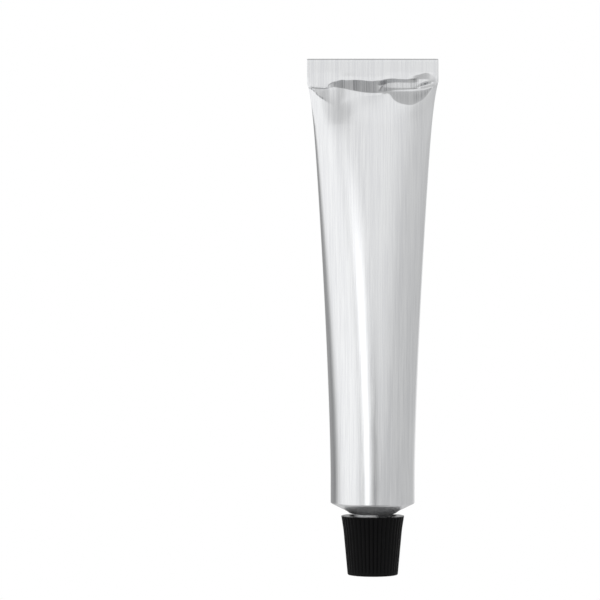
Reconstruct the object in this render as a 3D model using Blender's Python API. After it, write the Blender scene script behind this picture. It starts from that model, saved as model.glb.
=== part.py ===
"""A collapsible aluminium tube for 20 ml of cuticle oil, with a ribbed black screw cap.

The tube stands on its cap, as it is shown in a shop. The origin is the middle of the cap's end face,
+Z points up to the folded end of the tube, and the smooth front of the fold faces -Y.
Lengths are in metres.
"""

import math

import bmesh
import bpy

MM = 0.001

# Room between a piece and the piece that it seats on or turns in
FIT_GAP = 0.3 * MM

# Tube: sleeve, shoulder and neck are one impact extrusion of soft aluminium
TUBE_RADIUS = 9.5 * MM
TUBE_WALL = 0.12 * MM
SLEEVE_LENGTH = 95.0 * MM
SHOULDER_HEIGHT = 2.9 * MM
SHOULDER_WALL = 0.6 * MM
SHOULDER_ROLL = 0.35 * MM
NECK_RADIUS = 4.2 * MM
NECK_LENGTH = 6.65 * MM
NECK_WALL = 1.4 * MM
NECK_EDGE = 0.25 * MM

# How the sleeve spreads from round to flat: its half width at a share t of its length is the tube's
# radius times 1 + SPREAD_SHARE * (t past the straight foot) ** power + FLARE_SHARE * t ** power
FOOT_SHARE = 0.06
SPREAD_SHARE = 0.47
SPREAD_POWER = 1.45
FLARE_SHARE = 0.09
FLARE_POWER = 21.0

# From this share of its length up to the ridge, the sleeve is pinched at its sides, so that its section
# goes from an ellipse to two arcs that meet in an edge. Its half depth falls evenly there, down to this
# share of the tube's radius, which keeps the girth
PINCH_START_SHARE = 0.9
RIDGE_DEPTH_SHARE = 0.32

# A ridge crosses each face just below the fold. It bows down between the sleeve's two edges, where it
# ends at this share of the sleeve's length, and past it the foil is pressed in to the fold
RIDGE_SHARE = 0.986
RIDGE_BOW = 1.75 * MM
BOW_POWER = 5.0
BOW_START_SHARE = 0.88
VALLEY_POWER = 1.4
CAVITY_END_SHARE = 0.8

# Fold: the flattened end is turned over to the back twice, so that it is three double sheets thick
FOLD_HEIGHT = 5.2 * MM
FOLD_GAP = 0.08 * MM
FOLD_LIFT = 0.15 * MM

# Oil: it stands up to a level below the fold, with air above it
AIR_HEIGHT = 13.5 * MM

# Membrane that closes the neck until it is pierced, and the foam liner in the cap
MEMBRANE_THICKNESS = 0.12 * MM
LINER_THICKNESS = 1.0 * MM
LINER_EDGE = 0.15 * MM

# Cap: one moulding with a bore that screws on the neck. The recess in its other end goes over the neck
# too, so that the spike in it can pierce the membrane
CAP_WEB = 1.0 * MM
CAP_TAPER = 0.88 * MM
CAP_FLARE = 0.54 * MM
CAP_FLARE_HEIGHT = 3.6 * MM
CAP_EDGE = 0.2 * MM
CAP_LIP = 0.35 * MM
LEAD_IN = 0.95 * MM
RIB_COUNT = 42
RIB_DEPTH = 0.24 * MM
STANDING_RING = 0.78 * MM
RECESS_DEPTH = 3.6 * MM
RECESS_GAP = 0.5 * MM
SPIKE_RADIUS = 1.3 * MM
SPIKE_SETBACK = 0.4 * MM

# Both sides of a rib's crest, and of the groove after it, as shares of the ribs' pitch
RIB_CREST_SHARES = (-0.2, 0.2)
RIB_GROOVE_SHARES = (0.38, 0.62)

# How finely the shapes are drawn
SECTION_POINTS = 48
TURNED_POINTS = 48
SLEEVE_STEPS = 16
VALLEY_STEPS = 6
BEND_STEPS = 6
OVERRUN = 1.0 * MM
MERGE_DISTANCE = 0.0001 * MM
SHARP_ANGLE = math.radians(35.0)

# Heights that follow, from the cap's end face upwards
WEB_TOP = RECESS_DEPTH + CAP_WEB
LINER_BOTTOM = WEB_TOP + FIT_GAP
MEMBRANE_BOTTOM = LINER_BOTTOM + LINER_THICKNESS + FIT_GAP
NECK_MOUTH = MEMBRANE_BOTTOM + MEMBRANE_THICKNESS + FIT_GAP
NECK_BASE = NECK_MOUTH + NECK_LENGTH
CAP_HEIGHT = NECK_BASE
SHOULDER_EDGE = NECK_BASE + SHOULDER_HEIGHT
FOLD_BASE = SHOULDER_EDGE + SLEEVE_LENGTH
FOLD_TOP = FOLD_BASE + FOLD_HEIGHT

# Radii and thicknesses that follow
SHEET = 2 * TUBE_WALL
LAYER_PITCH = SHEET + FOLD_GAP
NOZZLE_RADIUS = NECK_RADIUS - NECK_WALL
SHOULDER_SLOPE = SHOULDER_HEIGHT / (TUBE_RADIUS - NECK_RADIUS)
BORE_RADIUS = NECK_RADIUS + FIT_GAP
RECESS_RADIUS = NECK_RADIUS + RECESS_GAP
CAP_END_RADIUS = RECESS_RADIUS + STANDING_RING + CAP_EDGE
CAP_KNEE_RADIUS = CAP_END_RADIUS + CAP_TAPER
CAP_RIM_RADIUS = CAP_KNEE_RADIUS + CAP_FLARE


def clear_scene():
    for thing in list(bpy.data.objects):
        bpy.data.objects.remove(thing, do_unlink=True)


def material(name, colour, roughness, metallic=0.0):
    made = bpy.data.materials.new(name)
    made.use_nodes = True
    shader = made.node_tree.nodes["Principled BSDF"]
    shader.inputs["Base Color"].default_value = (*colour, 1.0)
    shader.inputs["Roughness"].default_value = roughness
    shader.inputs["Metallic"].default_value = metallic
    made.diffuse_color = (*colour, 1.0)
    return made


def piece(name, bm, surface, height=0.0, parent=None):
    """Makes an object of bm, with its own origin on the tube's axis at that height."""
    mesh = bpy.data.meshes.new(name)
    bm.to_mesh(mesh)
    bm.free()
    made = bpy.data.objects.new(name, mesh)
    made.location = (0.0, 0.0, height)
    made.parent = parent
    bpy.context.scene.collection.objects.link(made)
    if surface:
        mesh.materials.append(surface)
        mesh.shade_smooth()
        mesh.set_sharp_from_angle(angle=SHARP_ANGLE)
    return made


def cut(body, name, bm, parent):
    """Cuts bm's shape out of body. The cutter isn't part of the object."""
    cutter = piece(name, bm, None, 0.0, parent)
    cutter.hide_render = True
    cutter.display_type = "WIRE"
    boolean = body.modifiers.new(name, "BOOLEAN")
    boolean.operation = "DIFFERENCE"
    boolean.solver = "EXACT"
    boolean.object = cutter


def join(bm, near, far):
    """Triangles between two rings of equally many corners. They all lean the same way round."""
    for i, corner in enumerate(near):
        j = (i + 1) % len(near)
        bm.faces.new((corner, near[j], far[j]))
        bm.faces.new((corner, far[j], far[i]))


def skin(bm, rings):
    """A surface through rings of points. Its last ring is closed, and its first is returned open."""
    loops = [[bm.verts.new(point) for point in ring] for ring in rings]
    for near, far in zip(loops, loops[1:]):
        join(bm, near, far)
    bm.faces.new(loops[-1])
    return loops[0]


def loft(rings):
    """A solid through rings of points, closed at its two ends."""
    bm = bmesh.new()
    bm.faces.new(skin(bm, rings))
    bmesh.ops.recalc_face_normals(bm, faces=bm.faces)
    return bm


def thin_loft(outside, inside):
    """A hollow solid between two skins that start at one mouth. Both are split alike into triangles,
    so that a thin wall stays whole where its faces twist."""
    bm = bmesh.new()
    join(bm, skin(bm, outside), skin(bm, inside))
    bmesh.ops.recalc_face_normals(bm, faces=bm.faces)
    return bm


def turned(profile):
    """A solid turned about Z, from an outline of (radius, height) points that starts and ends on Z."""
    bm = bmesh.new()
    points = [bm.verts.new((radius, 0.0, height)) for radius, height in profile]
    edges = [bm.edges.new(pair) for pair in zip(points, points[1:])]
    bmesh.ops.spin(
        bm,
        geom=points + edges,
        cent=(0.0, 0.0, 0.0),
        axis=(0.0, 0.0, 1.0),
        angle=math.tau,
        steps=TURNED_POINTS,
        use_merge=True,
    )
    bmesh.ops.remove_doubles(bm, verts=bm.verts, dist=MERGE_DISTANCE)
    bmesh.ops.recalc_face_normals(bm, faces=bm.faces)
    return bm


def girth(half_width, half_depth):
    """Ramanujan's length of an ellipse."""
    total = half_width + half_depth
    lean = 3 * ((half_width - half_depth) / total) ** 2
    return math.pi * total * (1 + lean / (10 + math.sqrt(4 - lean)))


def depth_that_keeps_girth(half_width):
    """The foil can't stretch, so a wider section is a shallower one."""
    shallow, deep = 0.0, half_width
    for _ in range(40):
        middle = (shallow + deep) / 2
        if girth(half_width, middle) > math.tau * TUBE_RADIUS:
            deep = middle
        else:
            shallow = middle
    return middle


def sleeve_half_width(share):
    past_foot = max(0.0, (share - FOOT_SHARE) / (1 - FOOT_SHARE))
    spread = SPREAD_SHARE * past_foot**SPREAD_POWER
    return TUBE_RADIUS * (1 + spread + FLARE_SHARE * share**FLARE_POWER)


def left_of_valley(share):
    """1 up to the ridge, and from there down to 0 at the fold."""
    return min(1.0, (1 - share) / (1 - RIDGE_SHARE))


def pinched(share):
    """0 where the section is an ellipse, and 1 from the ridge on."""
    return min(1.0, max(0.0, (share - PINCH_START_SHARE) / (RIDGE_SHARE - PINCH_START_SHARE)))


def sleeve_half_depth(share):
    """The girth sets it where the section is an ellipse. Past the ridge the faces close in to the fold."""
    ellipse = depth_that_keeps_girth(sleeve_half_width(min(share, PINCH_START_SHARE)))
    full = ellipse + (RIDGE_DEPTH_SHARE * TUBE_RADIUS - ellipse) * pinched(share)
    return SHEET / 2 + (full - SHEET / 2) * left_of_valley(share) ** VALLEY_POWER


def bow(share):
    """How far the middle of each face lies below the section's two edges."""
    grown = max(0.0, (share - BOW_START_SHARE) / (RIDGE_SHARE - BOW_START_SHARE))
    return RIDGE_BOW * min(1.0, grown) ** 2 * left_of_valley(share)


def section(half_width, half_depth, power=1.0, rim=0.0, flatness=0.0):
    """(across, deep, crown) points of one section.

    The crown is 0 at the section's two edges, which stay on its middle line, and 1 in mid face. A power
    of 1 is an ellipse, 2 is two arcs that meet in an edge, and 0 is a strip with parallel faces. The rim
    is the part of the half depth that turns to a strip by itself as its flatness goes to 1.
    """
    points = []
    for i in range(SECTION_POINTS):
        angle = math.tau * i / SECTION_POINTS
        crown = abs(math.sin(angle)) if i % (SECTION_POINTS // 2) else 0.0
        side = math.copysign(math.ceil(crown), math.sin(angle))
        deep = rim * crown ** (1 - flatness) + (half_depth - rim) * crown**power
        points.append((half_width * math.cos(angle), side * deep, crown))
    return points


def round_ring(radius, height):
    return [(across, deep, height) for across, deep, _ in section(radius, radius)]


def sleeve_ring(share, inset=0.0):
    """The sleeve at a share of its length, or what is left of it that far inside its outer skin."""
    height = SHOULDER_EDGE + SLEEVE_LENGTH * share
    half_width = sleeve_half_width(share) - inset
    half_depth = sleeve_half_depth(share) - inset
    power = (1 + pinched(share)) * left_of_valley(share)
    points = section(half_width, half_depth, power, max(0.0, TUBE_WALL - inset), pinched(share))
    return [(across, deep, height - bow(share) * crown**BOW_POWER) for across, deep, crown in points]


def sheet_ring(centre, facing):
    """The flattened sleeve at a point of the fold's path. Both are (y, z), and facing is square to it."""
    return [
        (across, centre[0] + facing[0] * deep, centre[1] + facing[1] * deep)
        for across, deep, _ in section(sleeve_half_width(1.0), SHEET / 2, power=0.0)
    ]


def sleeve_shares():
    """Stations up the sleeve, closer and closer together to the ridge, and then even to the fold."""
    quarter = math.pi / 2
    rising = [RIDGE_SHARE * math.sin(quarter * i / SLEEVE_STEPS) for i in range(1, SLEEVE_STEPS + 1)]
    valley = [RIDGE_SHARE + (1 - RIDGE_SHARE) * i / VALLEY_STEPS for i in range(1, VALLEY_STEPS)]
    return rising + valley


def fold_rings():
    """Rings from the sleeve up the front sheet, over the top, down the back and up between the two."""
    over_top = FOLD_TOP - SHEET / 2 - LAYER_PITCH
    under_back = FOLD_BASE + FOLD_LIFT + SHEET / 2 + LAYER_PITCH / 2
    turns = [math.pi * i / BEND_STEPS for i in range(BEND_STEPS + 1)]
    rings = [sheet_ring((0.0, FOLD_BASE), (1.0, 0.0))]
    for turn in turns:
        centre = (LAYER_PITCH * (1 - math.cos(turn)), over_top + LAYER_PITCH * math.sin(turn))
        rings.append(sheet_ring(centre, (math.cos(turn), -math.sin(turn))))
    for turn in turns:
        back = LAYER_PITCH * (3 + math.cos(turn)) / 2
        centre = (back, under_back - LAYER_PITCH / 2 * math.sin(turn))
        rings.append(sheet_ring(centre, (-math.cos(turn), math.sin(turn))))
    rings.append(sheet_ring((LAYER_PITCH, over_top), (1.0, 0.0)))
    return rings


def outer_rings():
    """The outside, from the neck's mouth up to the free end inside the fold."""
    outline = [
        (NECK_RADIUS - NECK_EDGE, NECK_MOUTH),
        (NECK_RADIUS, NECK_MOUTH + NECK_EDGE),
        (NECK_RADIUS, NECK_BASE),
        (TUBE_RADIUS - SHOULDER_ROLL, SHOULDER_EDGE - SHOULDER_ROLL * SHOULDER_SLOPE),
        (TUBE_RADIUS, SHOULDER_EDGE + SHOULDER_ROLL),
    ]
    rings = [round_ring(radius, height) for radius, height in outline]
    return rings + [sleeve_ring(share) for share in sleeve_shares()] + fold_rings()


def inner_rings(clearance=0.0):
    """The inside, from the nozzle's mouth up to where the flattened foil closes it."""
    sleeve_radius = TUBE_RADIUS - TUBE_WALL
    shoulder_floor = SHOULDER_EDGE + SHOULDER_WALL
    outline = [
        (NOZZLE_RADIUS, NECK_MOUTH),
        (NOZZLE_RADIUS, NECK_BASE + SHOULDER_WALL - NECK_WALL * SHOULDER_SLOPE),
        (sleeve_radius - SHOULDER_ROLL, shoulder_floor - SHOULDER_ROLL * SHOULDER_SLOPE),
        (sleeve_radius, shoulder_floor + SHOULDER_ROLL),
    ]
    rings = [round_ring(radius - clearance, height + clearance) for radius, height in outline]
    last = RIDGE_SHARE + (1 - RIDGE_SHARE) * CAVITY_END_SHARE
    shares = [share for share in sleeve_shares() if share < last] + [last]
    return rings + [sleeve_ring(share, TUBE_WALL + clearance) for share in shares]


def build_tube_body():
    """One thin shell: its outer and inner skins meet at the nozzle's mouth."""
    bm = thin_loft(outer_rings(), inner_rings())
    bmesh.ops.translate(bm, verts=bm.verts, vec=(0.0, 0.0, -NECK_BASE))
    return piece("tube_body", bm, material("satin_aluminium", (0.78, 0.78, 0.78), 0.3, 1.0), NECK_BASE)


def build_oil_fill():
    """The oil, as a solid of the space that it takes up, from the nozzle to its level."""
    level = FOLD_BASE - AIR_HEIGHT
    level_share = (level - SHOULDER_EDGE) / SLEEVE_LENGTH
    rings = [ring for ring in inner_rings(FIT_GAP) if ring[0][2] < level]
    rings.append(sleeve_ring(level_share, TUBE_WALL + FIT_GAP))
    bm = loft(rings)
    bmesh.ops.translate(bm, verts=bm.verts, vec=(0.0, 0.0, -NECK_BASE))
    return piece("oil_fill", bm, material("golden_oil", (0.75, 0.5, 0.12), 0.1), NECK_BASE)


def build_nozzle_membrane():
    radius = NECK_RADIUS - NECK_EDGE
    outline = [(0.0, MEMBRANE_THICKNESS), (radius, MEMBRANE_THICKNESS), (radius, 0.0), (0.0, 0.0)]
    surface = material("membrane_aluminium", (0.8, 0.8, 0.8), 0.35, 1.0)
    return piece("nozzle_membrane", turned(outline), surface, MEMBRANE_BOTTOM)


def build_cap_liner(axis):
    radius = BORE_RADIUS - FIT_GAP
    outline = [
        (0.0, LINER_THICKNESS),
        (radius - LINER_EDGE, LINER_THICKNESS),
        (radius, LINER_THICKNESS - LINER_EDGE),
        (radius, LINER_EDGE),
        (radius - LINER_EDGE, 0.0),
        (0.0, 0.0),
    ]
    surface = material("white_foam", (0.85, 0.85, 0.83), 0.8)
    return piece("cap_liner", turned(outline), surface, LINER_BOTTOM, axis)


def ribbed_ring(radius, height, depth):
    """A ring with RIB_COUNT ribs whose crests are at radius and whose grooves are depth further in."""
    crest = [(share, radius) for share in RIB_CREST_SHARES]
    groove = [(share, radius - depth) for share in RIB_GROOVE_SHARES]
    ring = []
    for rib in range(RIB_COUNT):
        for share, reach in crest + groove:
            angle = math.tau * (rib + share) / RIB_COUNT
            ring.append((reach * math.cos(angle), reach * math.sin(angle), height))
    return ring


def bore_shape():
    mouth = BORE_RADIUS + LEAD_IN
    return turned(
        [
            (0.0, CAP_HEIGHT + OVERRUN),
            (mouth, CAP_HEIGHT + OVERRUN),
            (mouth, CAP_HEIGHT),
            (BORE_RADIUS, CAP_HEIGHT - LEAD_IN),
            (BORE_RADIUS, WEB_TOP),
            (0.0, WEB_TOP),
        ]
    )


def recess_shape():
    """It leaves the spike standing in its middle."""
    return turned(
        [
            (0.0, SPIKE_SETBACK),
            (SPIKE_RADIUS, RECESS_DEPTH),
            (RECESS_RADIUS, RECESS_DEPTH),
            (RECESS_RADIUS, -OVERRUN),
            (0.0, -OVERRUN),
        ]
    )


def build_cap_shell(axis):
    """Its ribs run from the chamfer at its end to a plain lip at its rim."""
    stations = [
        (CAP_END_RADIUS - CAP_EDGE, 0.0, 0.0),
        (CAP_END_RADIUS, CAP_EDGE, RIB_DEPTH),
        (CAP_KNEE_RADIUS, CAP_HEIGHT - CAP_FLARE_HEIGHT, RIB_DEPTH),
        (CAP_RIM_RADIUS, CAP_HEIGHT - 2 * CAP_LIP, RIB_DEPTH),
        (CAP_RIM_RADIUS, CAP_HEIGHT - CAP_LIP, 0.0),
        (CAP_RIM_RADIUS, CAP_HEIGHT, 0.0),
    ]
    bm = loft([ribbed_ring(*station) for station in stations])
    surface = material("black_polypropylene", (0.012, 0.012, 0.013), 0.45)
    shell = piece("cap_shell", bm, surface, 0.0, axis)
    cut(shell, "bore_cutter", bore_shape(), axis)
    cut(shell, "recess_cutter", recess_shape(), axis)
    return shell


def main():
    clear_scene()
    axis = bpy.data.objects.new("cap_axis", None)
    bpy.context.scene.collection.objects.link(axis)
    build_tube_body()
    build_oil_fill()
    build_nozzle_membrane()
    build_cap_liner(axis)
    build_cap_shell(axis)


main()
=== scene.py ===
# %% [markdown]
# A collapsible aluminium tube for 20 ml of cuticle oil, standing on its ribbed black screw cap. This
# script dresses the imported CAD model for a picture. The CAD gives the true sizes, and here each piece
# that moves or shows is modelled once more with the detail that the CAD leaves out: threads, the
# pressed and folded end with its creases, rounded ribs, and finishes with fine texture.

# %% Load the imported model
import math

import bpy
import numpy as np
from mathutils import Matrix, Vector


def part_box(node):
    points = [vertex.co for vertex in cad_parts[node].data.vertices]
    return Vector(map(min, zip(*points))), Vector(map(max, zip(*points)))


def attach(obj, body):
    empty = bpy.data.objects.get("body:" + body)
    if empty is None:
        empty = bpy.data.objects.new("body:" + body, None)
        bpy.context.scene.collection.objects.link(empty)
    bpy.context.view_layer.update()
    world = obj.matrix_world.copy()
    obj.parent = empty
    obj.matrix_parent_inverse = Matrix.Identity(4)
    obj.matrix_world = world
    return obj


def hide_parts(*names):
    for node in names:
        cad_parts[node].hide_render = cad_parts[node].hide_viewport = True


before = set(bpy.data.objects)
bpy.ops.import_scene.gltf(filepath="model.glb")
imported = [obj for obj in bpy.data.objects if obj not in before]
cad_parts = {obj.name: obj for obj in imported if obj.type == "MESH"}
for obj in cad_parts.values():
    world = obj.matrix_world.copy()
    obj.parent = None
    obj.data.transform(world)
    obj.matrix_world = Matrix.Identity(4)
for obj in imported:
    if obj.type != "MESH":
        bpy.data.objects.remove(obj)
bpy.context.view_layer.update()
MM = 0.001

# %% [markdown]
# The pieces stay the size of their CAD nodes, so their sizes come from the nodes' boxes where a box
# can tell them. What a box can't tell, such as a wall or a neck inside the cap, is written here in
# real sizes. Heights go up from the cap's end face, and the tube's axis is the Z axis.

# %% Sizes of the object
tube_low, tube_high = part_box("tube_body")
_, cap_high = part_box("cap_shell")
membrane_low, membrane_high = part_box("nozzle_membrane")
liner_low, liner_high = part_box("cap_liner")

TUBE_RADIUS = -tube_low.y
TUBE_WALL = 0.12 * MM
NECK_MOUTH = tube_low.z
NECK_RADIUS = 4.2 * MM
NECK_WALL = 1.4 * MM
NECK_EDGE = 0.25 * MM
CAP_HEIGHT = cap_high.z
SHOULDER_HEIGHT = 2.9 * MM
SHOULDER_WALL = 0.6 * MM
SHOULDER_ROLL = 0.24 * MM
FOLD_HEIGHT = 5.2 * MM
FOLD_GAP = 0.08 * MM
FOLD_LIFT = 0.15 * MM
FIT_GAP = 0.3 * MM

SHOULDER_EDGE = CAP_HEIGHT + SHOULDER_HEIGHT
FOLD_TOP = tube_high.z
FOLD_BASE = FOLD_TOP - FOLD_HEIGHT
SLEEVE_LENGTH = FOLD_BASE - SHOULDER_EDGE
SHEET = 2 * TUBE_WALL
LAYER_PITCH = SHEET + FOLD_GAP
NOZZLE_RADIUS = NECK_RADIUS - NECK_WALL
BORE_RADIUS = NECK_RADIUS + FIT_GAP
print(f"tube radius {TUBE_RADIUS / MM:.2f} mm, sleeve {SLEEVE_LENGTH / MM:.2f} mm")

# %% [markdown]
# All the pieces start as turned shapes, as on a lathe. An outline is drawn point by point from the
# axis outwards, and then spun round the axis. Blender's Spin tool needs a point to start from, and the
# smallest start by hand is a circle of three corners merged to its middle. Doubles are merged after
# the spin, and only then are the normals turned outwards, because the pole's doubled points would
# mislead that step.

# %% Draw an outline and spin it
MERGE_DISTANCE = 0.0001 * MM
TOLERANCE = 0.01 * MM


def spin_outline(name, outline, steps):
    """A closed piece from (radius, height) points that start and end on the axis."""
    bpy.ops.object.select_all(action="DESELECT")
    bpy.ops.mesh.primitive_circle_add(vertices=3, radius=MM)
    piece = bpy.context.object
    piece.name = piece.data.name = name
    bpy.ops.object.mode_set(mode="EDIT")
    bpy.ops.mesh.select_all(action="SELECT")
    bpy.ops.mesh.merge(type="CENTER")
    bpy.ops.transform.translate(value=(outline[0][0], 0.0, outline[0][1]))
    for here, there in zip(outline, outline[1:]):
        step = (there[0] - here[0], 0.0, there[1] - here[1])
        bpy.ops.mesh.extrude_vertices_move(TRANSFORM_OT_translate={"value": step})
    bpy.ops.mesh.select_all(action="SELECT")
    bpy.ops.mesh.spin(steps=steps, angle=math.tau, center=(0.0, 0.0, 0.0), axis=(0.0, 0.0, 1.0))
    bpy.ops.mesh.select_all(action="SELECT")
    bpy.ops.mesh.remove_doubles(threshold=MERGE_DISTANCE)
    bpy.ops.mesh.normals_make_consistent(inside=False)
    bpy.ops.object.mode_set(mode="OBJECT")
    print(f"{name}: {len(outline)} outline points, {len(piece.data.polygons)} faces")
    return piece


def line(start, end, step):
    """Points from start to end, both included, no more than step apart."""
    count = max(1, math.ceil(math.dist(start, end) / step - 0.001))
    return [tuple(a + (b - a) * i / count for a, b in zip(start, end)) for i in range(count + 1)]


def arc(centre, radius, start, end, count):
    """Points on an arc from one angle to another, in degrees, 0 pointing away from the axis."""
    angles = [math.radians(start + (end - start) * i / count) for i in range(count + 1)]
    return [(centre[0] + radius * math.cos(a), centre[1] + radius * math.sin(a)) for a in angles]


def points_of(piece):
    """The corners of a piece as rows of x, y, z."""
    flat = np.empty(len(piece.data.vertices) * 3, np.float32)
    piece.data.vertices.foreach_get("co", flat)
    return flat.reshape(-1, 3).astype(float)


def move_points(piece, points):
    piece.data.vertices.foreach_set("co", points.astype(np.float32).ravel())
    piece.data.update()


def ease(value, start, end):
    """0 at start, 1 at end, and smooth between them. It takes numbers and rows of numbers."""
    share = np.clip((value - start) / (end - start), 0.0, 1.0)
    return share * share * (3 - 2 * share)


# %% [markdown]
# The real tube is made flat at one end only: a slug of aluminium is punched into a shoulder with a
# threaded neck and a long thin sleeve, which stays a straight cylinder until it is filled. Then its
# open end is pressed flat and folded over twice. The model is made in the same order. First comes the
# straight blank, with the rows of points close together where the creases, the threads and the folds
# will be. Its inner skin starts on the axis where the pressed foil will close the inside. A low boss
# and a narrow ledge stand round the neck, and their edges show just above the cap's rim.

# %% Outline of the straight blank
ROW_SLEEVE = 2.0 * MM
ROW_CREASES = 0.18 * MM
ROW_THREAD = 0.12 * MM
ROW_SHOULDER = 0.5 * MM
ROW_FOLD = 0.6 * MM
AROUND_TUBE = 300

RIDGE_SHARE = 0.986
RIDGE = SHOULDER_EDGE + RIDGE_SHARE * SLEEVE_LENGTH
CREASES_START = FOLD_BASE - 10 * MM
CAVITY_SHARE = 0.8
CAVITY_END = RIDGE + CAVITY_SHARE * (FOLD_BASE - RIDGE)
ROW_VALLEY = (FOLD_BASE - RIDGE) / 30
CRIMP_RUN = 3.4 * MM

front_run = FOLD_HEIGHT - SHEET / 2 - LAYER_PITCH
back_run = front_run - FOLD_LIFT - SHEET / 2 - LAYER_PITCH / 2
over_run = math.pi * LAYER_PITCH
under_run = math.pi * LAYER_PITCH / 2
fold_marks = np.cumsum(
    [FOLD_BASE, CRIMP_RUN, front_run - CRIMP_RUN, over_run, back_run, under_run, back_run]
)
fold_steps = (ROW_CREASES, 2 * ROW_CREASES, over_run / 10, ROW_FOLD, under_run / 8, ROW_FOLD)
print("blank's fold marks in mm:", np.round(fold_marks / MM, 2))

inner_radius = TUBE_RADIUS - TUBE_WALL
shoulder_slope = SHOULDER_HEIGHT / (TUBE_RADIUS - NECK_RADIUS)
shoulder_floor = SHOULDER_EDGE + SHOULDER_WALL
shoulder_inside = (inner_radius, shoulder_floor + SHOULDER_ROLL)
nozzle_top = CAP_HEIGHT + 0.2 * MM
LEDGE = CAP_HEIGHT + 0.62 * MM
LEDGE_RADIUS = 5.3 * MM
LEDGE_BEVEL = (0.1 * MM, 0.04 * MM)
BOSS = (5.85 * MM, CAP_HEIGHT + 1.08 * MM)

blank = [(0.0, CAVITY_END)]
blank += line((inner_radius, CAVITY_END), (inner_radius, RIDGE), 4 * ROW_VALLEY)
blank += line((inner_radius, RIDGE), (inner_radius, CREASES_START), 3 * ROW_CREASES)[1:]
blank += line((inner_radius, CREASES_START), shoulder_inside, 4 * ROW_SLEEVE)[1:]
blank += [(inner_radius - SHOULDER_ROLL, shoulder_floor - SHOULDER_ROLL * shoulder_slope)]
blank += line((NOZZLE_RADIUS, nozzle_top), (NOZZLE_RADIUS, NECK_MOUTH + NECK_EDGE / 2), MM)
blank += [(NOZZLE_RADIUS + NECK_EDGE / 2, NECK_MOUTH)]
blank += arc((NECK_RADIUS - NECK_EDGE, NECK_MOUTH + NECK_EDGE), NECK_EDGE, -90, 0, 4)
blank += line((NECK_RADIUS, blank[-1][1]), (NECK_RADIUS, LEDGE - NECK_EDGE), ROW_THREAD)[1:]
blank += arc((NECK_RADIUS + NECK_EDGE, LEDGE - NECK_EDGE), NECK_EDGE, 180, 90, 4)[1:]
blank += [(LEDGE_RADIUS - LEDGE_BEVEL[0], LEDGE), (LEDGE_RADIUS, LEDGE + LEDGE_BEVEL[1])]
roll_start = (TUBE_RADIUS - SHOULDER_ROLL, SHOULDER_EDGE - SHOULDER_ROLL * shoulder_slope)
blank += line(BOSS, roll_start, ROW_SHOULDER)
roll_middle = (TUBE_RADIUS - SHOULDER_ROLL, SHOULDER_EDGE + SHOULDER_ROLL)
blank += arc(roll_middle, SHOULDER_ROLL, -50, 0, 4)
blank += line((TUBE_RADIUS, blank[-1][1]), (TUBE_RADIUS, CREASES_START), ROW_SLEEVE)[1:]
blank += line((TUBE_RADIUS, CREASES_START), (TUBE_RADIUS, RIDGE), ROW_CREASES)[1:]
blank += line((TUBE_RADIUS, RIDGE), (TUBE_RADIUS, FOLD_BASE), ROW_VALLEY)[1:]
for step, mark, next_mark in zip(fold_steps, fold_marks, fold_marks[1:]):
    blank += line((TUBE_RADIUS, mark), (TUBE_RADIUS, next_mark), step)[1:]
blank += [(0.0, fold_marks[-1])]
tube = spin_outline("folded_tube", blank, AROUND_TUBE)

# %% [markdown]
# The foil is marked with its own coordinates before it is pressed: how far round and how far up each
# point lies on the straight blank, as shares of the girth and of the length. They become the UV map,
# so that the drawing lines of the foil run with it through every crease. The seam of the map is put at
# the back of the tube.

# %% Mark the foil with a UV map
GIRTH = math.tau * TUBE_RADIUS
BLANK_LENGTH = fold_marks[-1]


def mark_foil(piece):
    points = points_of(piece)
    corners = np.empty(len(piece.data.loops), np.int32)
    piece.data.loops.foreach_get("vertex_index", corners)
    starts = np.empty(len(piece.data.polygons), np.int32)
    counts = np.empty(len(piece.data.polygons), np.int32)
    piece.data.polygons.foreach_get("loop_start", starts)
    piece.data.polygons.foreach_get("loop_total", counts)
    turn = np.arctan2(points[:, 1], points[:, 0]) / math.tau - 0.25
    turn = (turn % 1.0)[corners]
    face = np.repeat(np.arange(len(starts)), counts)
    highest = np.zeros(len(starts))
    np.maximum.at(highest, face, turn)
    turn = np.where(turn < highest[face] - 0.5, turn + 1.0, turn)
    up = points[corners, 2] / BLANK_LENGTH
    layer = piece.data.uv_layers.new(name="foil")
    layer.data.foreach_set("uv", np.column_stack([turn, up]).astype(np.float32).ravel())


mark_foil(tube)
print(f"girth {GIRTH / MM:.2f} mm, blank length {BLANK_LENGTH / MM:.2f} mm")

# %% [markdown]
# The neck's thread is a real helix, M9 with a pitch of 1.25 mm. Its rows of points are 0.12 mm apart,
# so the thread can be raised by moving each point out by what the helix says for its height and its
# angle. The cap's bore takes the same formula with a little room, so the two mesh at every turn of the
# cap. On the right front the last turn runs out into the ledge, which dips there.

# %% Thread the neck
PITCH = 1.25 * MM
THREAD_CREST = 0.27 * MM
THREAD_ROOT = -0.27 * MM
THREAD_START = NECK_MOUTH + 0.55 * MM
THREAD_END = CAP_HEIGHT - 0.9 * MM
# Shares of half a pitch at which a flank starts and ends
THREAD_FLANK = (0.22, 0.78)
LEDGE_DIP = 0.42 * MM
# Across the front: the dip starts, is full, starts to end, and has ended
DIP_ACROSS = (0.6 * MM, 1.4 * MM, 3.8 * MM, 4.8 * MM)
DIP_DEEP = (-1.0 * MM, 1.0 * MM)


def thread_offset(x, y, z, start, end):
    """How far the right-handed thread stands out from its pitch cylinder at each point."""
    phase = (z / PITCH - np.arctan2(y, x) / math.tau) % 1.0
    wave = ease(1 - np.abs(2 * phase - 1), *THREAD_FLANK)
    depth = THREAD_ROOT + (THREAD_CREST - THREAD_ROOT) * wave
    return depth * ease(z, start, start + PITCH / 2) * (1 - ease(z, end - PITCH / 2, end))


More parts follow.
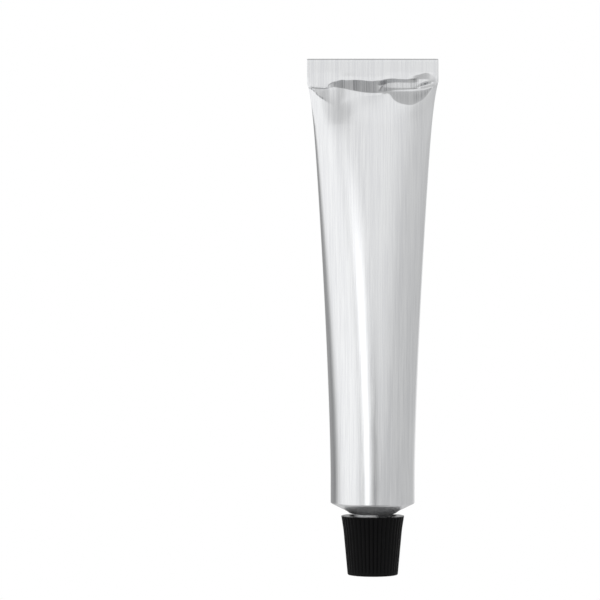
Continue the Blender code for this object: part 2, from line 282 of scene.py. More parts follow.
def thread_neck(piece):
    points = points_of(piece)
    x, y, z = points.T
    radius = np.hypot(x, y)
    on_neck = np.abs(radius - NECK_RADIUS) < TOLERANCE
    out = np.where(on_neck, thread_offset(x, y, z, THREAD_START, THREAD_END), 0.0)
    scale = 1 + out / np.maximum(radius, MM)
    points[:, 0] *= scale
    points[:, 1] *= scale
    ledge = (z > LEDGE - 1.5 * NECK_EDGE) & (z < LEDGE + 1.5 * LEDGE_BEVEL[1])
    ledge &= (radius > NECK_RADIUS - TOLERANCE) & (radius < LEDGE_RADIUS + TOLERANCE)
    dip = LEDGE_DIP * ease(x, *DIP_ACROSS[:2]) * (1 - ease(x, *DIP_ACROSS[2:]))
    dip *= 1 - ease(y, *DIP_DEEP)
    points[:, 2] -= np.where(ledge, dip, 0.0)
    move_points(piece, points)
    print(f"thread: {on_neck.sum()} points moved, crest radius {(NECK_RADIUS + out.max()) / MM:.2f} mm")


thread_neck(tube)

# %% [markdown]
# Now the sleeve is pressed. Aluminium foil bends but doesn't stretch, so each section keeps its girth:
# where it gets wider it gets shallower. That gives the long wedge shape of every filled tube. How wide
# a section is follows from how far up it lies, and its depth is then searched for by halving, until
# the ellipse has the tube's girth. Near the ridge the section is pinched. That sets in softly, because
# a sudden start would show as a line in the reflections.

# %% Width and depth of each section
FOOT_SHARE = 0.06
SPREAD_SHARE = 0.47
SPREAD_POWER = 1.45
FLARE_SHARE = 0.09
FLARE_POWER = 21.0
RIDGE_BOW = 1.75 * MM
BOW_START_SHARE = 0.88
BOW_POWER = 5.0
PINCH_START_SHARE = 0.87
PINCH_POWER = 1.3
RIDGE_DEPTH_SHARE = 0.32
VALLEY_POWER = 1.4
HALVINGS = 40


def half_width_at(share):
    past_foot = np.clip((share - FOOT_SHARE) / (1 - FOOT_SHARE), 0.0, 1.0)
    spread = SPREAD_SHARE * past_foot**SPREAD_POWER
    return TUBE_RADIUS * (1 + spread + FLARE_SHARE * np.minimum(share, 1.0) ** FLARE_POWER)


def girth_of(half_width, half_depth):
    """Ramanujan's length of an ellipse."""
    total = half_width + half_depth
    lean = 3 * ((half_width - half_depth) / total) ** 2
    return math.pi * total * (1 + lean / (10 + np.sqrt(4 - lean)))


def left_of_valley(share):
    """1 up to the ridge, and from there down to 0 at the fold."""
    return min(1.0, max(0.0, (1 - share) / (1 - RIDGE_SHARE)))


def pinched(share):
    """0 where the section is an ellipse, and 1 from the ridge on, where it is two arcs."""
    grown = (share - PINCH_START_SHARE) / (RIDGE_SHARE - PINCH_START_SHARE)
    return min(1.0, max(0.0, grown)) ** PINCH_POWER


def half_depth_at(share):
    """The depth that keeps the girth up to the ridge. Past it the faces close in to a double sheet."""
    width = half_width_at(min(share, PINCH_START_SHARE))
    low, high = 0.0, width
    for _ in range(HALVINGS):
        middle = (low + high) / 2
        if girth_of(width, middle) > GIRTH:
            high = middle
        else:
            low = middle
    full = middle + (RIDGE_DEPTH_SHARE * TUBE_RADIUS - middle) * pinched(share)
    return SHEET / 2 + (full - SHEET / 2) * left_of_valley(share) ** VALLEY_POWER


def bow_at(share):
    """How far the middle of each face lies below the section's two edges."""
    grown = np.clip((share - BOW_START_SHARE) / (RIDGE_SHARE - BOW_START_SHARE), 0.0, 1.0)
    return RIDGE_BOW * grown**2 * left_of_valley(share)


ridge_size = [2 * size(RIDGE_SHARE) / MM for size in (half_width_at, half_depth_at)]
print("ridge's width and depth in mm:", np.round(ridge_size, 2))

# %% [markdown]
# Each point keeps its distance round the girth. On the way up it slides from the circle to an ellipse,
# then to two arcs that meet in pinched edges, and past the ridge to a flat double sheet. The folded
# end is bent along its path in the same move, and leans back by less than two degrees.

# %% Press the end flat and fold it over
STRIP_POWER = 0.08
FOLD_LEAN = 0.03
QUARTER_SAMPLES = 600


def pressed_section(turn, width, depth, power):
    """Across and deep of points on one section, each at its old distance round the girth."""
    bend = np.linspace(0.0, math.pi / 2, QUARTER_SAMPLES)
    across, deep = width * np.cos(bend), depth * np.sin(bend) ** max(power, STRIP_POWER)
    run = np.concatenate([[0.0], np.cumsum(np.hypot(np.diff(across), np.diff(deep)))])
    share = np.arctan2(np.abs(np.sin(turn)), np.abs(np.cos(turn))) / (math.pi / 2)
    x = np.interp(share * run[-1], run, across)
    y = np.interp(share * run[-1], run, deep)
    return np.sign(np.round(np.cos(turn), 9)) * x, np.sign(np.round(np.sin(turn), 9)) * y


def fold_path(along):
    """Middle of the double sheet and the way its front faces, for a distance past the fold's base."""
    top = front_run
    if along <= top:
        return (0.0, FOLD_BASE + along), (1.0, 0.0)
    along -= top
    if along <= over_run:
        bend = along / LAYER_PITCH
        centre = (LAYER_PITCH * (1 - math.cos(bend)), FOLD_BASE + top + LAYER_PITCH * math.sin(bend))
        return centre, (math.cos(bend), -math.sin(bend))
    along -= over_run
    if along <= back_run:
        return (2 * LAYER_PITCH, FOLD_BASE + top - along), (-1.0, 0.0)
    along -= back_run
    if along <= under_run:
        bend = along / (LAYER_PITCH / 2)
        centre = (
            LAYER_PITCH * (3 + math.cos(bend)) / 2,
            FOLD_BASE + top - back_run - LAYER_PITCH / 2 * math.sin(bend),
        )
        return centre, (-math.cos(bend), math.sin(bend))
    along -= under_run
    return (LAYER_PITCH, FOLD_BASE + top - back_run + along), (1.0, 0.0)


def press_tube(points):
    """Where the blank's points lie once the end is pressed flat and folded."""
    radius = np.hypot(points[:, 0], points[:, 1])
    turn = np.arctan2(points[:, 1], points[:, 0])
    outer = radius > TUBE_RADIUS - TUBE_WALL / 2
    inner = (radius > inner_radius - SHOULDER_ROLL / 2) & ~outer
    pressed = points.copy()
    for height in np.unique(np.round(points[points[:, 2] > SHOULDER_EDGE, 2], 9)):
        row = np.abs(points[:, 2] - height) < 1e-8
        share = (height - SHOULDER_EDGE) / SLEEVE_LENGTH
        for inset, skin in ((0.0, outer), (TUBE_WALL, inner)):
            chosen = row & skin
            if not chosen.any():
                continue
            if share <= 1:
                width = half_width_at(share) - inset
                depth = half_depth_at(share) - inset
                power = (1 + pinched(share)) * left_of_valley(share)
                x, y = pressed_section(turn[chosen], width, depth, power)
                crown = np.sqrt(np.clip(1 - (x / width) ** 2, 0.0, 1.0))
                pressed[chosen] = np.column_stack([x, y, height - bow_at(share) * crown**BOW_POWER])
            else:
                (y0, z0), (face_y, face_z) = fold_path(height - FOLD_BASE)
                x, deep = pressed_section(turn[chosen], half_width_at(1.0), SHEET / 2, 0.0)
                pressed[chosen] = np.column_stack([x, y0 + face_y * deep, z0 + face_z * deep])
    middle = radius < MM / 10
    low_pole = middle & (points[:, 2] < FOLD_BASE)
    high_pole = middle & (points[:, 2] > FOLD_BASE)
    pressed[low_pole, 2] = CAVITY_END - bow_at((CAVITY_END - SHOULDER_EDGE) / SLEEVE_LENGTH)
    (y0, z0), _ = fold_path(BLANK_LENGTH - FOLD_BASE)
    pressed[high_pole] = (0.0, y0, z0)
    bent = points[:, 2] > FOLD_BASE
    pressed[bent, 1] += FOLD_LEAN * (pressed[bent, 2] - FOLD_BASE)
    return pressed


blank_points = points_of(tube)
pressed_points = press_tube(blank_points)
for corner in (pressed_points.min(0), pressed_points.max(0)):
    print("pressed tube's box in mm:", np.round(corner / MM, 2))

# %% [markdown]
# Where the flat strip meets the full sleeve, the foil buckles, and that corner of the tube gives it its
# character. The front's creases are drawn as lines across the tube: the lower edge of the dents, the
# ridge, a small terrace in the right half, the foot of the strip, and a bulge in the strip. Each line is
# a few stations of (across, height from the foot of the strip, depth in front of the strip), all in mm.
# A smooth curve through the stations keeps corners out of the lines.

# %% Stations of the crease lines
LOWER_EDGE = (
    (-14.6, -1.33), (-14.1, -1.5), (-13.6, -1.8), (-13.2, -2.2), (-12.5, -3.0), (-11.9, -3.5),
    (-11.2, -3.95), (-9.8, -5.0), (-8.2, -5.6), (-6.8, -5.1), (-5.3, -4.2), (-3.8, -3.6), (-2.2, -3.4),
    (2.2, -3.15), (3.7, -3.0), (4.5, -4.2), (5.6, -4.95), (7.1, -5.35), (8.9, -5.45), (10.2, -4.9),
    (12.0, -3.6), (13.4, -1.7), (14.6, -1.33),
)
RIDGE_LINE = (
    (-14.6, -1.33, 0.0), (-13.5, -1.5, 0.25), (-12.0, -1.72, 0.6), (-10.8, -1.8, 0.85),
    (-9.8, -1.6, 1.1), (-8.8, -1.4, 1.5), (-7.8, -1.45, 1.9), (-6.5, -1.68, 2.25), (-5.1, -2.02, 2.5),
    (-4.0, -2.27, 2.66), (-1.8, -2.65, 2.86), (0.4, -2.78, 2.92), (2.3, -2.62, 2.8), (3.7, -2.32, 2.5),
    (4.9, -2.12, 2.2), (7.1, -1.93, 1.68), (9.3, -1.78, 1.25), (11.6, -1.55, 0.62), (13.4, -1.2, 0.2),
    (14.6, -1.33, 0.0),
)
TERRACE_FOOT = (
    (1.6, -1.4, 2.2), (2.4, -1.5, 2.2), (3.4, -1.57, 2.1), (4.9, -1.6, 1.92), (7.1, -1.6, 1.48),
    (9.7, -1.52, 1.02), (12.3, -1.0, 0.6), (13.6, -0.75, 0.28), (14.6, -0.97, 0.0),
)
TERRACE_TOP = (
    (1.6, -1.3, 2.15), (2.4, -0.95, 2.02), (3.4, -0.5, 1.77), (4.9, -0.28, 1.52), (7.1, -0.25, 1.06),
    (9.7, -0.2, 0.66), (11.0, -0.05, 0.64), (12.3, 0.1, 0.6), (13.6, 0.1, 0.33), (14.6, -0.44, 0.0),
)
STRIP_FOOT = (
    (-14.6, -0.95, 0.0), (-13.5, -1.24, 0.12), (-12.0, -1.42, 0.3), (-10.8, -1.5, 0.42),
    (-9.8, -0.9, 0.45), (-9.2, -0.38, 0.38), (-8.4, -0.15, 0.28), (-7.8, 0.08, 0.18), (-7.2, 0.25, 0.13),
    (-5.8, 0.2, 0.12), (-4.0, 0.27, 0.12), (-2.4, 0.2, 0.13), (-1.0, 0.02, 0.14), (0.4, 0.02, 0.14),
    (1.65, 0.2, 0.14), (2.7, 0.42, 0.14), (4.4, 0.66, 0.12), (6.0, 0.56, 0.1), (8.4, 0.52, 0.12),
    (9.2, 0.56, 0.25), (9.9, 0.55, 0.38), (11.0, 0.45, 0.55), (12.4, 0.35, 0.58), (13.5, 0.25, 0.36),
    (14.2, 0.1, 0.1), (14.6, 0.0, 0.0),
)
STRIP_BULGE = (
    (-14.6, 0.8, 0.0), (-12.0, 1.0, 0.05), (-9.8, 1.0, 0.08), (-7.8, 1.0, 0.03), (-7.0, 1.1, 0.0),
    (-2.0, 1.0, 0.0), (2.7, 1.25, 0.0), (4.4, 1.6, 0.0), (7.0, 1.7, 0.0), (8.9, 1.4, 0.0),
    (10.2, 1.6, 0.02), (12.0, 1.88, 0.02), (13.4, 1.62, 0.02), (14.2, 1.1, 0.0), (14.6, 0.85, 0.0),
)


def drawn_through(stations, x):
    """A smooth line through stations, as metres for each column after the first."""
    knots = np.array(stations) * MM
    across = knots[:, 0]
    span = np.clip(np.searchsorted(across, x) - 1, 0, len(across) - 2)
    width = across[span + 1] - across[span]
    t = np.clip((x - across[span]) / width, 0.0, 1.0)
    columns = []
    for values in knots[:, 1:].T:
        lean = np.gradient(values, across)
        near = (1 + 2 * t) * (1 - t) ** 2 * values[span] + t * (1 - t) ** 2 * width * lean[span]
        far = t * t * (3 - 2 * t) * values[span + 1] + t * t * (t - 1) * width * lean[span + 1]
        columns.append(near + far)
    return columns


print(f"ridge line through {len(RIDGE_LINE)} stations, foot of the strip through {len(STRIP_FOOT)}")

# %% [markdown]
# The points of the front are sorted by their height on the blank: the sleeve up to the ridge, the
# valley from there to the fold, and the crimp above it. Then each point learns where every line runs
# at its own place across. In the left half there is no terrace, so its two lines run on into one plain
# slope.

# %% Find the front's points and their lines
VALLEY_SHARES = (0.0, 0.27, 0.67, 1.0)
STRIP_SHARES = (0.0, 0.25, 0.6, 1.0)
TERRACE_SIDE = (0.5 * MM, 2.4 * MM)

x, y, _ = pressed_points.T
height = blank_points[:, 2]
radius = np.hypot(blank_points[:, 0], blank_points[:, 1])
front = (blank_points[:, 1] < -1e-9) & (radius > TUBE_RADIUS - TUBE_WALL / 2)
front &= (height > CREASES_START) & (height < FOLD_BASE + CRIMP_RUN + 1e-9)
below = front & (height <= RIDGE)
valley = front & (height > RIDGE) & (height <= FOLD_BASE)
crimp = front & (height > FOLD_BASE)

(lower,) = drawn_through(LOWER_EDGE, x)
ridge, ridge_out = drawn_through(RIDGE_LINE, x)
strip, strip_out = drawn_through(STRIP_FOOT, x)
bulge, bulge_out = drawn_through(STRIP_BULGE, x)


def terrace_line(stations, share):
    """A line of the terrace, which at the left lies at a share of the plain slope."""
    own, own_out = drawn_through(stations, x)
    plain = ridge + share * (strip - ridge)
    plain_out = ridge_out + share * (strip_out - ridge_out)
    terraced = ease(x, *TERRACE_SIDE)
    return plain + (own - plain) * terraced, plain_out + (own_out - plain_out) * terraced


foot, foot_out = terrace_line(TERRACE_FOOT, VALLEY_SHARES[1])
top, top_out = terrace_line(TERRACE_TOP, VALLEY_SHARES[2])
print(f"points below the ridge {below.sum()}, in the valley {valley.sum()}, in the crimp {crimp.sum()}")

# %% [markdown]
# Below the ridge the sleeve is dented: flat facets at the left, a deep scoop at the right with a swell
# under it. Each dent deepens from its lower edge to the ridge by a power that says how hollow it is.
# The scoop has fine upright pleats. The inner skin is drawn back behind all this, or it would show
# through where the front is pressed in by more than the foil's own thickness.

# %% Dent the sleeve
DENT_POWER = (
    (-14.0, 1.0), (-9.0, 1.1), (-7.5, 1.5), (-6.0, 2.0), (-3.0, 2.0), (3.5, 1.4), (5.0, 1.05),
    (13.0, 1.05),
)
LIP_SHARE = 0.12
SWELL = (
    (-14.6, 0.0), (2.5, 0.0), (4.5, 0.12), (7.0, 0.42), (9.3, 0.52), (11.5, 0.42), (12.6, 0.25),
    (13.6, 0.02), (14.6, 0.0),
)
SWELL_RUN = 4.4 * MM
SCOOP_SIDE = (3.0 * MM, 4.5 * MM)
SCOOP_PLEATS = 0.4
PLEAT_DEPTH = 0.05 * MM
# Width of each wave of pleats in mm, its phase, and how much it counts
PLEAT_WAVES = ((0.62, 0.4, 0.35), (1.13, 1.4, 0.35), (1.83, 2.1, 0.3))
LEAST_DENT = 0.05 * MM
INNER_SHRINK = 0.85
INNER_RUN = 4 * MM


def pleats(x):
    """How far the steep foil is pressed in by its fine upright pleats."""
    waves = [part * np.sin(x / (width * MM) * math.tau + phase) for width, phase, part in PLEAT_WAVES]
    return PLEAT_DEPTH * sum(waves)


creased = pressed_points.copy()
inside = (y < 0.0) & (height > CREASES_START) & (height < FOLD_BASE) & ~front
creased[inside, 1] *= 1 - INNER_SHRINK * ease(height[inside], CREASES_START, CREASES_START + INNER_RUN)

grown = np.clip((height - CREASES_START) / (RIDGE - CREASES_START), 0.0, 1.0)
new_height = height + (ridge - (RIDGE - FOLD_BASE)) * grown**2
full = half_depth_at(RIDGE_SHARE) * np.clip(1 - (x / half_width_at(RIDGE_SHARE)) ** 2, 0.0, 1.0)
press = np.maximum(full - ridge_out - SHEET / 2, 0.0)
share = np.clip((new_height - FOLD_BASE - lower) / np.maximum(ridge - lower, LEAST_DENT), 0.0, 1.0)
share = np.minimum(share / (1 - LIP_SHARE), 1.0)
power = drawn_through(DENT_POWER, x)[0] / MM
(swell,) = drawn_through(SWELL, x)
swell *= 1 - ease(FOLD_BASE + lower - new_height, 0.0, SWELL_RUN)
scoop = ease(x, *SCOOP_SIDE) * np.sin(math.pi * share)
dent = press * share**power - swell * (1 - share) + SCOOP_PLEATS * pleats(x) * scoop
creased[below, 1] = np.minimum(y + dent, 0.0)[below]
creased[below, 2] = new_height[below]
print(f"deepest dent {dent[below].max() / MM:.2f} mm")

# %% [markdown]
# The valley and the crimp are shaped by spreading their rows evenly between two lines, so every crease
# lies on a row of the mesh and stays crisp. A small pit is pressed in at the right, where the jaws met
# the double edge.

# %% Shape the valley and the crimp
FLAT_SHARE = 0.6
PIT = (11.9, -0.5)
PIT_LEAN = 0.27
PIT_SIZE = (1.3, 0.22)
PIT_DEPTH = 0.35 * MM


def between(share, shares, rows):
    """For points at a share of the way, the value between the two rows of values around it."""
    rows = np.array(rows)
    span = np.clip(np.searchsorted(shares, share, side="right") - 1, 0, len(shares) - 2)
    marks = np.array(shares)
    t = (share - marks[span]) / (marks[span + 1] - marks[span])
    points = np.arange(len(share))
    return rows[span, points] * (1 - t) + rows[span + 1, points] * t


share = np.clip((height - RIDGE) / (FOLD_BASE - RIDGE), 0.0, 1.0)
sheet = np.abs(y) / np.maximum(np.abs(y), SHEET / 2) * SHEET / 2
out = between(share, VALLEY_SHARES, (ridge_out, foot_out, top_out, strip_out))
steep = np.clip((ridge_out - strip_out) / MM, 0.0, 1.0)
out -= steep * pleats(x) * np.sin(math.pi * share)
creased[valley, 1] = -(sheet + out)[valley]
creased[valley, 2] = FOLD_BASE + between(share, VALLEY_SHARES, (ridge, foot, top, strip))[valley]

share = np.clip((height - FOLD_BASE) / CRIMP_RUN, 0.0, 1.0)
flat, end, none = (np.full_like(x, part * CRIMP_RUN) for part in (FLAT_SHARE, 1.0, 0.0))
up = between(share, STRIP_SHARES, (strip, bulge, flat, end))
out = between(share, STRIP_SHARES, (strip_out, bulge_out, none, none))
creased[crimp, 1] = (y - out)[crimp]
creased[crimp, 2] = FOLD_BASE + up[crimp]

along = creased[:, 0] / MM - PIT[0]
aside = (creased[:, 2] - FOLD_BASE) / MM - PIT[1] - PIT_LEAN * along
pit = np.exp(-((along / PIT_SIZE[0]) ** 2) - (aside / PIT_SIZE[1]) ** 2)
creased[front, 1] += (PIT_DEPTH * pit)[front]
move_points(tube, creased)
print(f"creases moved points by up to {np.abs(creased - pressed_points).max() / MM:.2f} mm")

# %% [markdown]
# Shade is painted into the foil's colour where it is steep or hollow: dark bars on the steep band, the
# pit, the fold line at the left, the scoop and the crease line under the dents. How much painted shade
# each point gets is kept with the mesh as an attribute, and the aluminium's finish reads it later.

# %% Paint shade into the foil
# Painted shade on the steep band: place across in mm, and strength
BAND_SHADE = (
    (-10.2, 0.0), (-9.2, 0.25), (-7.4, 0.3), (-6.0, 0.0), (-4.9, 0.0), (-4.3, 0.35), (-3.0, 0.4),
    (-1.2, 0.45), (0.5, 0.25), (1.8, 0.25), (2.6, 0.6), (3.6, 0.45), (4.6, 0.2), (8.5, 0.2), (9.2, 0.6),
    (10.0, 0.5), (11.5, 0.5), (12.8, 0.1), (14.6, 0.0),
)
# Painted shade bars: place across in mm, half width in mm, and strength
SHADE_BARS = ((-7.0, 0.2, 0.8), (-6.3, 0.2, 0.7), (-4.2, 0.2, 0.8), (-3.45, 0.22, 0.7))
SCOOP_SHADE = 0.08
SCOOP_STEP = 0.34
STEP_SIDE = (8.7 * MM, 9.1 * MM)
CREASE_SHADE = 1.0
CREASE_WIDTH = 0.2 * MM
CREASE_END = (-11.5 * MM, -10.0 * MM)
FOLD_LINE_SHADE = 0.25
FOLD_LINE_ENDS = (-14.3 * MM, -13.6 * MM, -11.0 * MM, -10.0 * MM)

band = np.clip(drawn_through(BAND_SHADE, x)[0] / MM, 0.0, 1.0)
marks = sum(dark * np.exp(-(((x / MM - middle) / half) ** 2)) for middle, half, dark in SHADE_BARS)
fold_line = FOLD_LINE_SHADE * ease(x, *FOLD_LINE_ENDS[:2]) * (1 - ease(x, *FOLD_LINE_ENDS[2:]))
crease = np.exp(-(((new_height - FOLD_BASE - lower) / CREASE_WIDTH) ** 2)) * (1 - ease(x, *CREASE_END))
scooped = scoop * (SCOOP_SHADE + SCOOP_STEP * ease(x, *STEP_SIDE))
# Painted shade: the band with its bars, the pit and the fold line in the valley, and the scoop and the
# crease line below the ridge
painted_shade = np.zeros_like(x)
painted_shade[valley] = np.clip((band + marks) * steep + pit + fold_line, 0.0, 1.0)[valley]
painted_shade[below] = (scooped + CREASE_SHADE * crease)[below]
layer = tube.data.attributes.new("painted_shade", "FLOAT", "POINT")
layer.data.foreach_set("value", painted_shade.astype(np.float32))
print(f"rubbed: {(painted_shade > 0.1).sum()} points")

# %% [markdown]
# The cap is one moulding of black polypropylene. Its outline is turned in the same way: up the bore,
# over the rim, down the flare and the taper, round the standing ring, and into the recess with the
# piercing spike. There are eight points to each of the 42 ribs, and the ribs are then pressed in as
# rounded grooves that run from the rim down to the end.

# %% Turn the cap
RIB_COUNT = 42
POINTS_PER_RIB = 8
RIB_DEPTH = 0.24 * MM
CAP_EDGE = 0.2 * MM
LEAD_IN = 0.95 * MM
CAP_RIM_RADIUS = cap_high.x
CAP_FLARE = 0.54 * MM
CAP_FLARE_HEIGHT = 3.6 * MM
CAP_TAPER = 0.88 * MM
CAP_KNEE_RADIUS = CAP_RIM_RADIUS - CAP_FLARE
CAP_END_RADIUS = CAP_KNEE_RADIUS - CAP_TAPER
RECESS_DEPTH = 3.6 * MM
RECESS_RADIUS = NECK_RADIUS + 0.5 * MM
SPIKE_RADIUS = 1.3 * MM
SPIKE_SETBACK = 0.4 * MM
WEB_TOP = liner_low.z - FIT_GAP
RIM_ROUND = 0.1 * MM
BORE_CORNER = 0.2 * MM
PLAIN_LIP = 0.2 * MM
FLARE_CURVE = 1.1
FLARE_ROWS = 18
SPIKE_TIP = (0.12 * MM, 0.1 * MM)


def flare(height):
    """The cap's outer radius between its knee and its rim."""
    share = (height - (CAP_HEIGHT - CAP_FLARE_HEIGHT)) / CAP_FLARE_HEIGHT
    return CAP_KNEE_RADIUS + CAP_FLARE * share**FLARE_CURVE


lead_end = (BORE_RADIUS + LEAD_IN - RIM_ROUND, CAP_HEIGHT - RIM_ROUND)
knee = (CAP_KNEE_RADIUS, CAP_HEIGHT - CAP_FLARE_HEIGHT)
cap_outline = [(0.0, WEB_TOP)]
cap_outline += arc((BORE_RADIUS - BORE_CORNER, WEB_TOP + BORE_CORNER), BORE_CORNER, -90, 0, 3)
cap_outline += line(cap_outline[-1], (BORE_RADIUS, CAP_HEIGHT - LEAD_IN), ROW_THREAD)[1:]
cap_outline += line((BORE_RADIUS, CAP_HEIGHT - LEAD_IN), lead_end, 0.3 * MM)[1:]
cap_outline += [(BORE_RADIUS + LEAD_IN, CAP_HEIGHT)]
cap_outline += arc((CAP_RIM_RADIUS - RIM_ROUND, CAP_HEIGHT - RIM_ROUND), RIM_ROUND, 90, 0, 4)
flare_heights = np.linspace(CAP_HEIGHT - PLAIN_LIP, knee[1], FLARE_ROWS)
cap_outline += [(flare(height), height) for height in flare_heights]
cap_outline += line(knee, (CAP_END_RADIUS, CAP_EDGE), 0.8 * MM)[1:]
cap_outline += arc((CAP_END_RADIUS - CAP_EDGE, CAP_EDGE), CAP_EDGE, 0, -90, 4)[1:]
cap_outline += [(RECESS_RADIUS + RIM_ROUND, 0.0), (RECESS_RADIUS, RIM_ROUND)]
cap_outline += line((RECESS_RADIUS, RIM_ROUND), (RECESS_RADIUS, RECESS_DEPTH - BORE_CORNER), MM)[1:]
cap_outline += arc((RECESS_RADIUS - BORE_CORNER, RECESS_DEPTH - BORE_CORNER), BORE_CORNER, 0, 90, 3)[1:]
spike_end = (SPIKE_TIP[0], SPIKE_SETBACK + SPIKE_TIP[1])
cap_outline += line((SPIKE_RADIUS, RECESS_DEPTH), spike_end, 0.4 * MM)
cap_outline += [(0.0, SPIKE_SETBACK)]
cap = spin_outline("ribbed_screw_cap", cap_outline, RIB_COUNT * POINTS_PER_RIB)

# %% Press in the ribs and cut the thread in the bore
BORE_THREAD_START = WEB_TOP + 2.3 * MM
BORE_THREAD_END = CAP_HEIGHT - LEAD_IN
THREAD_ROOM = 0.2 * MM
RIB_RUN_OUT = 0.35 * MM
# From the crest to the middle of a groove, as shares of half a rib's width
GROOVE_FLANK = (0.35, 1.0)


def finish_cap(piece):
    points = points_of(piece)
    x, y, z = points.T
    radius = np.hypot(x, y)
    phase = (np.arctan2(y, x) / math.tau * RIB_COUNT) % 1.0
    groove = ease(1 - np.abs(2 * phase - 1), *GROOVE_FLANK)
    runs = ease(z, 0.0, CAP_EDGE + RIB_RUN_OUT) * (1 - ease(z, CAP_HEIGHT - RIB_RUN_OUT, CAP_HEIGHT))
    outside = radius > CAP_END_RADIUS - CAP_EDGE / 2
    ribbed = np.where(outside, radius - RIB_DEPTH * groove * runs, radius)
    in_bore = (np.abs(radius - BORE_RADIUS) < TOLERANCE) & (z > WEB_TOP)
    start, end = BORE_THREAD_START, BORE_THREAD_END
    inside = ease(z, start, start + PITCH / 2) * (1 - ease(z, end - PITCH / 2, end))
    endless = thread_offset(x, y, z, -PITCH, 2 * CAP_HEIGHT)
    threaded = NECK_RADIUS + endless + THREAD_ROOM
    ribbed = np.where(in_bore, BORE_RADIUS + (threaded - BORE_RADIUS) * inside, ribbed)
    scale = ribbed / np.maximum(radius, MM / 100)
    points[:, 0] *= scale
    points[:, 1] *= scale
    move_points(piece, points)
    print(f"cap: {outside.sum()} rib points, {in_bore.sum()} bore points")


finish_cap(cap)

# %% [markdown]
# Two small round pieces close the neck. The membrane is the thin end that the punch leaves on the
# neck, so it starts in the neck's mouth and its face is a little dished. The liner is a disc punched
# out of foam sheet with rounded edges, and the neck has pressed its ring into the top of it.

# %% Turn the membrane and the liner
MEMBRANE_RADIUS = membrane_high.x
MEMBRANE_DISH = 0.04 * MM
MOUTH_REACH = 0.06 * MM
LINER_RADIUS = liner_high.x
LINER_ROUND = 0.15 * MM
IMPRINT_DEPTH = 0.1 * MM
# Radii at which the ring in the liner starts and is full, and at which it starts to end and ends
IMPRINT_INNER = (NOZZLE_RADIUS - 0.15 * MM, NOZZLE_RADIUS + 0.1 * MM)
IMPRINT_OUTER = (MEMBRANE_RADIUS - 0.25 * MM, MEMBRANE_RADIUS)
AROUND_SMALL = 96

wall = membrane_high.z - membrane_low.z
membrane_outline = [(0.0, membrane_high.z)]
membrane_face = MEMBRANE_RADIUS - 2 * wall
membrane_outline += line((0.5 * MM, membrane_high.z), (membrane_face, membrane_high.z), 0.4 * MM)
membrane_outline += [
    (MEMBRANE_RADIUS - wall, membrane_high.z + wall),
    (MEMBRANE_RADIUS - wall, NECK_MOUTH + MOUTH_REACH),
    (MEMBRANE_RADIUS, NECK_MOUTH + MOUTH_REACH),
]
membrane_outline += arc((membrane_face, membrane_low.z + 2 * wall), 2 * wall, 0, -90, 6)
for share in np.linspace(0.9, 0.0, 10):
    radius = share * membrane_face
    membrane_outline.append((radius, membrane_low.z + MEMBRANE_DISH * (1 - share**2)))
membrane = spin_outline("sealing_membrane", membrane_outline, AROUND_SMALL)


def imprint(radius):
    """How deep the neck's end has pressed into the liner at a radius."""
    return IMPRINT_DEPTH * ease(radius, *IMPRINT_INNER) * (1 - ease(radius, *IMPRINT_OUTER))


liner_outline = [(0.0, liner_high.z)]
for radius in np.linspace(0.3 * MM, LINER_RADIUS - LINER_ROUND, 34):
    liner_outline.append((radius, liner_high.z - imprint(radius)))
liner_face = LINER_RADIUS - LINER_ROUND
liner_outline += arc((liner_face, liner_high.z - LINER_ROUND), LINER_ROUND, 90, 0, 4)[1:]
liner_outline += arc((liner_face, liner_low.z + LINER_ROUND), LINER_ROUND, 0, -90, 4)
liner_outline += [(0.0, liner_low.z)]
liner = spin_outline("foam_liner", liner_outline, AROUND_SMALL)

# %% [markdown]
# Smooth shading is kept off the real edges: only faces that meet at less than the angle given here are
# blended. The turned small parts need a little less than the pressed tube with its soft creases.

# %% Soften the shading
for piece, angle in ((tube, 40), (cap, 40), (membrane, 35), (liner, 35)):
    bpy.ops.object.select_all(action="DESELECT")
    piece.select_set(True)
    bpy.context.view_layer.objects.active = piece
    bpy.ops.object.shade_smooth_by_angle(angle=math.radians(angle))
    print(f"{piece.name}: smooth where faces meet at less than {angle} degrees")

# %% [markdown]
# The finishes are made of nodes. One small function adds a node with its values and links, and one
# turns a hex colour, as read off a screen, into the linear numbers that Blender counts in. A noise
# hardly leaves the span from 0.3 to 0.7, so Map Range nodes stretch its middle to the values wanted.

# %% Helpers for materials
def linear(code):
    """An sRGB hex colour as linear red, green, blue and alpha."""
    values = [int(code[i : i + 2], 16) / 255 for i in (1, 3, 5)]
    turned = [v / 12.92 if v <= 0.04045 else ((v + 0.055) / 1.055) ** 2.4 for v in values]
    return (*turned, 1.0)


def join(tree, source, socket):
    """Joins a node's first output, or the output given, to a socket."""
    tree.links.new(source.outputs[0] if hasattr(source, "outputs") else source, socket)


def put(tree, kind, values=None, links=None, **settings):
    """Adds a node: values fill its sockets, links join them to other nodes, settings are its own."""
    made = tree.nodes.new(kind)
    for name, setting in settings.items():
        setattr(made, name, setting)
    for socket, value in (values or {}).items():
        made.inputs[socket].default_value = value
    for socket, source in (links or {}).items():
        join(tree, source, made.inputs[socket])
    return made


def new_finish(name, values):
    """A material with one Principled shader on its output."""
    made = bpy.data.materials.new(name)
    made.use_nodes = True
    tree = made.node_tree
    tree.nodes.clear()
    shader = put(tree, "ShaderNodeBsdfPrincipled", values)
    put(tree, "ShaderNodeOutputMaterial", None, {"Surface": shader})
    return made, tree, shader


def coat(piece, finish):
    piece.data.materials.clear()
    piece.data.materials.append(finish)
    print(f"{piece.name}: {finish.name}, {len(finish.node_tree.nodes)} nodes")


# %% [markdown]
# Drawn aluminium is satin: bright, with soft lines along the way that the punch moved, some wide and
# long, some fine and short, and no colour of its own. Three layers of stretched noise on the foil's
# own coordinates make these lines in mm. The real lines are finer than a tenth of a millimetre, and
# are drawn wider here so that they show.

